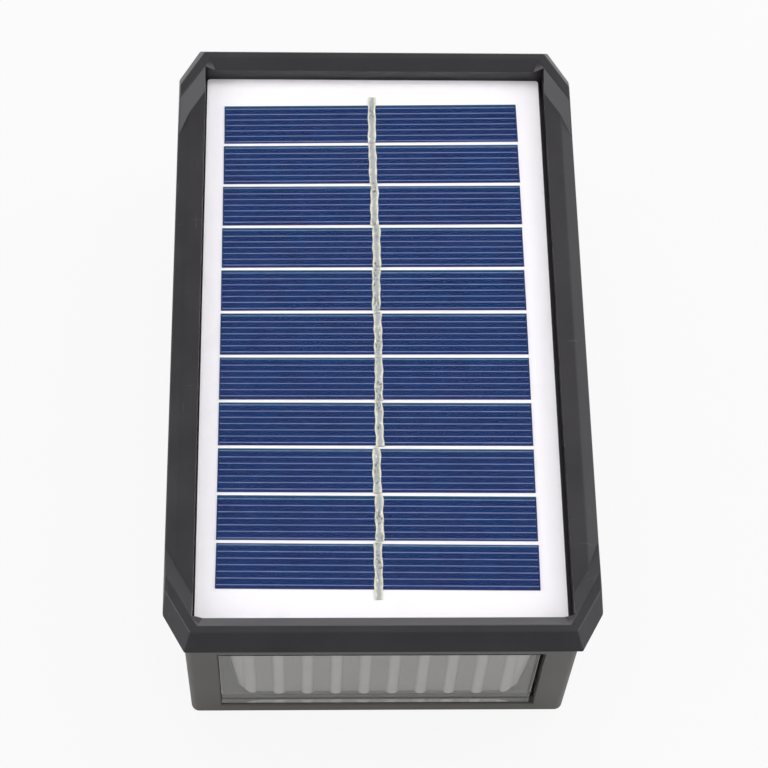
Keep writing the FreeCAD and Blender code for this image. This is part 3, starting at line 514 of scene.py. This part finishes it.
# ---------------------------------------------------------------- ribbons
# A flat tinned copper ribbon joins each strip to the next, soldered down by hand.
# The lengths are a little out of line, flux and solder leave them mottled, and white highlights are painted
# on in patches.
ribbon_width = 2.0 * mm
ribbon_height = 0.1 * mm
ribbon_joint = 0.3 * mm
ribbon_overrun = 2.2 * mm
ribbon_cells = (4, 44)                      # faces across and along each length
ribbon_sway = 0.05 * mm
ribbon_lean = 0.12 * mm
ribbon_swell = 0.10                         # share of its width that a length swells by,
ribbon_nick = 0.03                          # and share that its cut edges are rough by
ribbon_crown = 0.5                          # share of its height that its long edges lack,
ribbon_ripple = 0.1                         # and share that comes and goes along it
sway_turn = 9                               # radians that each of these waves turns through
swell_turn = 17                             # from one end of a length to the other
ripple_turn = 31
ribbon_seed = 11
ribbon_aside = [                            # millimetres off the middle, from the light window's end
    0.10, 0.53, 0.10, 0.87, 0.95, 0.93, 0.68, 0.93, 0.55, 0.30, 0.22]
tin_cream = (0.66, 0.64, 0.52, 1)
tin_silver = (0.33, 0.35, 0.34, 1)
tin_olive = (0.085, 0.090, 0.050, 1)
# the white of the painted highlights on the tin
painted_glint_white = (0.86, 0.86, 0.80, 1)
blot_size = 0.7 * mm
stain_size = 3.4 * mm
speck_size = 0.34 * mm
solder_depth = 0.05 * mm
ribbon_low, ribbon_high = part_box("cell_ribbons")
ribbon_x = (ribbon_low.x + ribbon_high.x) / 2
ribbon_z = ribbon_low.z + finger_height
ribbon_bottom = field_centre.y - strip_count * strip_pitch / 2


def ribbon_length(work, across_layer, row, chance):
    """One length of ribbon, with edges that waver."""
    across, along = ribbon_cells
    y0 = ribbon_bottom + row * strip_pitch + ribbon_joint / 2
    y1 = y0 + strip_pitch - ribbon_joint
    if row == 0:
        y0 -= ribbon_overrun
    if row == strip_count - 1:
        y1 += ribbon_overrun
    middle = ribbon_x + ribbon_aside[row] * mm
    lean = chance.uniform(-1, 1) * ribbon_lean
    phase = chance.uniform(0, math.tau)
    grid = []
    for j in range(along + 1):
        t = j / along
        sway = lean * (2 * t - 1) + ribbon_sway * math.sin(phase + sway_turn * t)
        swell = 1 + ribbon_swell * math.sin(phase + swell_turn * t) + chance.uniform(-1, 1) * ribbon_nick
        ripple = 1 - ribbon_ripple + ribbon_ripple * math.sin(phase + ripple_turn * t)
        line = []
        for i in range(across + 1):
            s = 2 * i / across - 1
            x = middle + sway + s * ribbon_width / 2 * swell
            z = ribbon_z + ribbon_height * (1 - ribbon_crown * s ** 4) * ripple
            vertex = work.verts.new((x, y0 + (y1 - y0) * t, z))
            vertex[across_layer] = s
            line.append(vertex)
        grid.append(line)
    for j in range(along):
        for i in range(across):
            work.faces.new((grid[j][i], grid[j][i + 1], grid[j + 1][i + 1], grid[j + 1][i]))


work = bmesh.new()
across_layer = work.verts.layers.float.new("across")
chance = random.Random(ribbon_seed)
for row in range(strip_count):
    ribbon_length(work, across_layer, row, chance)
rims = [e for e in work.edges if e.is_boundary]
skirt = bmesh.ops.extrude_edge_only(work, edges=rims)["geom"]
for vertex in skirt:
    if isinstance(vertex, bmesh.types.BMVert):
        vertex.co.z = ribbon_z
bmesh.ops.holes_fill(work, edges=[e for e in work.edges if e.is_boundary], sides=0)
bmesh.ops.recalc_face_normals(work, faces=work.faces)
ribbon_mesh = bpy.data.meshes.new("ribbon_lengths")
work.to_mesh(ribbon_mesh)
work.free()
ribbon_mesh.shade_smooth()
ribbon_mesh.set_sharp_from_angle(angle=math.radians(40))
ribbons = mesh_object("ribbon_lengths", ribbon_mesh)
ribbon_tin, tree, shader = material_tree("mottled tinned ribbon")
place = place_of(tree, (1, 0.5, 1))
blots = noise(tree, place, blot_size, 4, 0.65)
stains = noise(tree, place, stain_size, 2)
specks = noise(tree, place, speck_size, 2, 0.6)
across = add(tree, "ShaderNodeAttribute", attribute_name="across").outputs["Fac"]
from_middle = add(tree, "ShaderNodeMath", {0: across}, operation="ABSOLUTE").outputs[0]
from_middle = plus(tree, from_middle, ramp(tree, blots, 0.3, 0.7, -0.35, 0.35))
tone = mix(tree, ramp(tree, from_middle, 0.35, 0.85), tin_silver, tin_cream)
# Painted highlight: pale white patches where the blots and the stains overlap.
painted_glints = times(tree, ramp(tree, blots, 0.60, 0.68), ramp(tree, stains, 0.40, 0.50))
tone = mix(tree, painted_glints, tone, painted_glint_white)
dark = times(tree, ramp(tree, specks, 0.52, 0.60), ramp(tree, stains, 0.50, 0.58))
dark = times(tree, dark, ramp(tree, from_middle, 0.5, 0.95, 1.0, 0.0))
tone = mix(tree, dark, tone, tin_olive)
tree.links.new(tone, shader.inputs["Base Color"])
shader.inputs["Metallic"].default_value = 0.25
tree.links.new(ramp(tree, blots, 0.3, 0.7, 0.3, 0.55), shader.inputs["Roughness"])
tree.links.new(relief(tree, blots, solder_depth), shader.inputs["Normal"])
ride_and_replace(ribbons, ribbon_tin, "cell_ribbons")


# ---------------------------------------------------------------- panel's clear cover
# A thin clear film with a satin face, laminated over the strips.
# Its cut edge shows as a fine line round the panel.
film_thickness = 0.06 * mm
film_corner = 0.8 * mm
film_inset = 0.05 * mm
film_edge = 0.02 * mm
film_clear = (0.98, 0.98, 0.985, 1)
film_bending = 1.12                         # a low index, because the film is satin and barely glares
film_roughness = 0.12


def clear_material(name, colour, ior, roughness, wave=0.0):
    """Clear plastic that lets the lamps' light through to what lies behind it."""
    haze_size = 12 * mm
    wave_size = 6 * mm
    material, tree, shader = material_tree(name)
    shader.inputs["Base Color"].default_value = colour
    shader.inputs["Transmission Weight"].default_value = 1.0
    shader.inputs["IOR"].default_value = ior
    place = place_of(tree)
    haze = noise(tree, place, haze_size, 3)
    tree.links.new(ramp(tree, haze, 0.3, 0.7, roughness, roughness + 0.03), shader.inputs["Roughness"])
    if wave:
        tree.links.new(relief(tree, noise(tree, place, wave_size, 2), wave), shader.inputs["Normal"])
    path = add(tree, "ShaderNodeLightPath")
    open_way = add(tree, "ShaderNodeBsdfTransparent", {"Color": colour})
    both = add(tree, "ShaderNodeMixShader", {0: path.outputs["Is Shadow Ray"], 1: shader.outputs[0],
                                             2: open_way.outputs[0]})
    tree.links.new(both.outputs[0], tree.nodes["Material Output"].inputs["Surface"])
    return material


def rounded_slab(name, low, high, corner, edge):
    """A flat slab with rounded upright corners and softened edges."""
    corner_steps = 5
    edge_steps = 2
    work = bmesh.new()
    bmesh.ops.create_cube(work, size=1.0)
    for vertex in work.verts:
        vertex.co = Vector([(low[i] + high[i]) / 2 + vertex.co[i] * (high[i] - low[i]) for i in range(3)])
    upright = [e for e in work.edges if abs(e.verts[0].co.z - e.verts[1].co.z) > (high[2] - low[2]) / 2]
    bmesh.ops.bevel(work, geom=upright, offset=corner, segments=corner_steps, profile=0.5, affect="EDGES")
    level = [e for e in work.edges if e.calc_face_angle(0) > math.radians(60)]
    bmesh.ops.bevel(work, geom=level, offset=edge, segments=edge_steps, profile=0.5, affect="EDGES")
    bmesh.ops.recalc_face_normals(work, faces=work.faces)
    mesh = bpy.data.meshes.new(name)
    work.to_mesh(mesh)
    work.free()
    return mesh_object(name, mesh)


cover_low, cover_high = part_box("panel_cover")
film_low = (cover_low.x + film_inset, cover_low.y + film_inset, cover_high.z - film_thickness)
film_high = (cover_high.x - film_inset, cover_high.y - film_inset, cover_high.z)
film = rounded_slab("cover_film", film_low, film_high, film_corner, film_edge)
film_plastic = clear_material("clear satin film", film_clear, film_bending, film_roughness)
ride_and_replace(film, film_plastic, "panel_cover")


# ---------------------------------------------------------------- housing
# The box under the lid: grey-black ABS with a flat back, keyholes and screw wells.
# It is moulded in one piece; the lid is screwed to it through the wells, over a silicone gasket.
housing_edge = 0.45 * mm
housing_shortest = 6.0 * mm                 # shorter edges stay sharp,
housing_fold = 40                           # and so do those that fold by fewer degrees
housing_body = (0.124, 0.116, 0.107, 1)
housing_pale = (0.150, 0.141, 0.131, 1)
housing_scuff = (0.20, 0.19, 0.18, 1)
housing_roughness = 0.42
silicone_dark = (0.010, 0.010, 0.010, 1)
silicone_grey = (0.030, 0.030, 0.030, 1)
housing_plastic = moulded_plastic("grey-black moulded housing", housing_body, housing_pale, housing_scuff,
                                  housing_roughness)
housing = rounded_copy("housing_box", "housing", housing_edge, housing_shortest, housing_fold)
ride_and_replace(housing, housing_plastic, "housing")
silicone = speckled("dark silicone", silicone_dark, silicone_grey, size=1.5 * mm, roughness=0.55)
for node in ("lid_gasket", "lens_seal", "button_seal"):
    finish_node(node, silicone)


# ---------------------------------------------------------------- light window
# A clear lens plate stands in the window, a little to the left and up, so a dark gap shows beside it.
# Behind it a dark mask leaves a tub-shaped mouth, which a frosted, fluted diffuser fills.
lens_corner = 0.4 * mm
lens_edge = 0.5 * mm
lens_back_gap = 0.12 * mm
lens_wave = 0.02 * mm
lens_clear = (0.95, 0.943, 0.938, 1)
lens_bending = 1.38
lens_roughness = 0.03
lens_front = -81.6 * mm
lens_left = -39.7 * mm
lens_right = 38.6 * mm
lens_low = 6.0 * mm
lens_high = 40.6 * mm
mask_body = (0.034, 0.029, 0.025, 1)
mask_pale = (0.046, 0.040, 0.035, 1)
mask_scuff = (0.08, 0.075, 0.07, 1)
mask_roughness = 0.7
mask_gloss = 0.08
lens_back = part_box("front_lens")[1].y - lens_back_gap
lens = rounded_slab("lens_plate", (lens_left, lens_front, lens_low),
                    (lens_right, lens_back, lens_high), lens_corner, lens_edge)
lens_plastic = clear_material("clear moulded lens", lens_clear, lens_bending, lens_roughness, lens_wave)
ride_and_replace(lens, lens_plastic, "front_lens")
mask_plastic = moulded_plastic("dark mask", mask_body, mask_pale, mask_scuff, mask_roughness)
mask_plastic.node_tree.nodes["Principled BSDF"].inputs["Specular IOR Level"].default_value = mask_gloss
finish_node("light_mask", mask_plastic)

flute_front = -77.0 * mm
flute_root = -76.2 * mm
flute_blend = 0.15 * mm                     # how far before and behind these the tone starts to change
last_flute = 32.4 * mm                      # beyond this on either side the plate is plain
# Painted light and shade on the flutes: their crests are painted pale and the valleys between them dark.
crest_painted_light = (0.60, 0.59, 0.58, 1)
valley_painted_shade = (0.335, 0.33, 0.325, 1)
clouded_tone = (0.47, 0.465, 0.46, 1)
frost_cloud = 5 * mm
frost_grain = 0.4 * mm
frost_depth = 0.01 * mm
frost_gloss = 0.12
frosted, tree, shader = material_tree("frosted diffuser")
place = place_of(tree)
parts = add(tree, "ShaderNodeSeparateXYZ", {0: place})
# Painted shade: the set-back valleys between the flutes are darkened, and the crests keep the pale tone.
valley_shade_share = ramp(tree, parts.outputs[1], flute_front + flute_blend, flute_root - flute_blend)
across = add(tree, "ShaderNodeMath", {0: parts.outputs[0]}, operation="ABSOLUTE").outputs[0]
valley_shade_share = times(tree, valley_shade_share, ramp(tree, across, last_flute, last_flute + 0.1 * mm, 1.0, 0.0))
clouded = noise(tree, place, frost_cloud, 3)
tone = mix(tree, valley_shade_share, crest_painted_light, valley_painted_shade)
tone = mix(tree, ramp(tree, clouded, 0.3, 0.8, 0, 0.25), tone, clouded_tone)
tree.links.new(tone, shader.inputs["Base Color"])
tree.links.new(ramp(tree, clouded, 0.3, 0.7, 0.65, 0.8), shader.inputs["Roughness"])
shader.inputs["Specular IOR Level"].default_value = frost_gloss
tree.links.new(relief(tree, noise(tree, place, frost_grain, 3), frost_depth), shader.inputs["Normal"])
finish_node("diffuser", frosted)


# ---------------------------------------------------------------- reflector and LED board
# A glossy white horn stands behind the diffuser, and a board with ten LEDs in two rows closes its back.
# Two screws hold the board on the horn, and four clamp horn, mask, lens and seal to the front wall.
reflector_white = (0.88, 0.88, 0.87, 1)
reflector_shade = (0.80, 0.80, 0.79, 1)
led_board_white = (0.84, 0.84, 0.82, 1)
led_board_shade = (0.74, 0.74, 0.71, 1)
phosphor_pale = (0.90, 0.80, 0.30, 1)
phosphor_deep = (0.80, 0.60, 0.12, 1)
white_horn = speckled("white reflector", reflector_shade, reflector_white, size=6 * mm, roughness=0.3)
white_lacquer = speckled("white LED board", led_board_shade, led_board_white, size=2 * mm, roughness=0.4)
phosphor = speckled("yellow phosphor", phosphor_deep, phosphor_pale, size=1 * mm, roughness=0.5)
finish_node("reflector", white_horn)
finish_node("led_board", white_lacquer)
finish_node("led_chips", phosphor)


# ---------------------------------------------------------------- control board
# A green circuit board on four posts, with its charge chip, coil and capacitor in their usual black.
# Three plugs of natural nylon take the leads, and the latching switch hangs under the board.
solder_mask_green = (0.020, 0.150, 0.055, 1)
solder_mask_deep = (0.010, 0.090, 0.030, 1)
nylon_pale = (0.72, 0.68, 0.58, 1)
nylon_shade = (0.62, 0.58, 0.48, 1)
moulding_black = (0.012, 0.012, 0.012, 1)
moulding_grey = (0.030, 0.030, 0.030, 1)
ferrite_dark = (0.04, 0.04, 0.04, 1)
ferrite_grey = (0.09, 0.09, 0.09, 1)
green_mask = speckled("green solder mask", solder_mask_deep, solder_mask_green, size=2 * mm, roughness=0.35)
nylon = speckled("natural nylon", nylon_shade, nylon_pale, size=3 * mm, roughness=0.5)
ferrite = speckled("grey ferrite", ferrite_dark, ferrite_grey, size=0.6 * mm, roughness=0.75)
black_moulding = speckled("matt black moulding", moulding_black, moulding_grey, size=2 * mm, roughness=0.6)
finish_node("control_board", green_mask)
finish_node("lead_connectors", nylon)
finish_node("inductor", ferrite)
for node in ("charge_chip", "capacitor", "push_switch"):
    finish_node(node, black_moulding)


# ---------------------------------------------------------------- push button
# A black rubber button in a dish in the back, trapped by its flange over a silicone ring.
# It moves together with the switch's plunger, which is a black moulded pin.
rubber_black = (0.012, 0.012, 0.013, 1)
rubber_grey = (0.030, 0.030, 0.032, 1)
button_rubber = speckled("black button rubber", rubber_black, rubber_grey, size=1.2 * mm, roughness=0.6)
finish_node("push_button", button_rubber)
finish_node("switch_plunger", black_moulding)


# ---------------------------------------------------------------- battery
# One lithium cell in a blue shrink sleeve lies in an open black holder, which two screws hold down.
# A plate at one end and a plate with a spring at the other press on it; both are nickel plated steel.
sleeve_blue = (0.020, 0.095, 0.330, 1)
sleeve_deep = (0.010, 0.060, 0.230, 1)
nickel_pale = (0.70, 0.67, 0.60, 1)
nickel_shade = (0.52, 0.49, 0.42, 1)
finish_node("battery_holder", black_moulding)
sleeve = speckled("blue shrink sleeve", sleeve_deep, sleeve_blue, size=8 * mm, roughness=0.3)
finish_node("battery_cell", sleeve)
nickel = speckled("nickel plate", nickel_shade, nickel_pale, size=1.5 * mm, roughness=0.15, Metallic=1.0)
for node in ("battery_contact", "battery_spring"):
    finish_node(node, nickel)


# ---------------------------------------------------------------- screws
# Zinc plated steel screws. Four go up through the wells in the back into the lid's bosses.
# The others hold the reflector, the LED board, the control board and the battery's holder.
zinc_pale = (0.58, 0.57, 0.54, 1)
zinc_shade = (0.34, 0.33, 0.30, 1)
zinc_plate = speckled("zinc plated steel", zinc_shade, zinc_pale, size=0.7 * mm, roughness=0.25, Metallic=1.0)
for held in ("housing", "reflector", "led_board", "control_board", "battery_holder"):
    finish_node(held + "_screws", zinc_plate)


# ---------------------------------------------------------------- leads
# Six short leads in soft red or black insulation run from the control board's plugs.
# A pair each goes to the solar panel, the battery's plates and the LED board.
red_bright = (0.50, 0.020, 0.015, 1)
red_deep = (0.36, 0.010, 0.010, 1)
lead_grey = (0.030, 0.030, 0.030, 1)
lead_black = (0.010, 0.010, 0.010, 1)
red_insulation = speckled("red insulation", red_deep, red_bright, size=3 * mm, roughness=0.45)
black_insulation = speckled("black insulation", lead_black, lead_grey, size=3 * mm, roughness=0.45)
for run in ("panel", "battery", "led"):
    finish_node(run + "_lead_red", red_insulation)
    finish_node(run + "_lead_black", black_insulation)
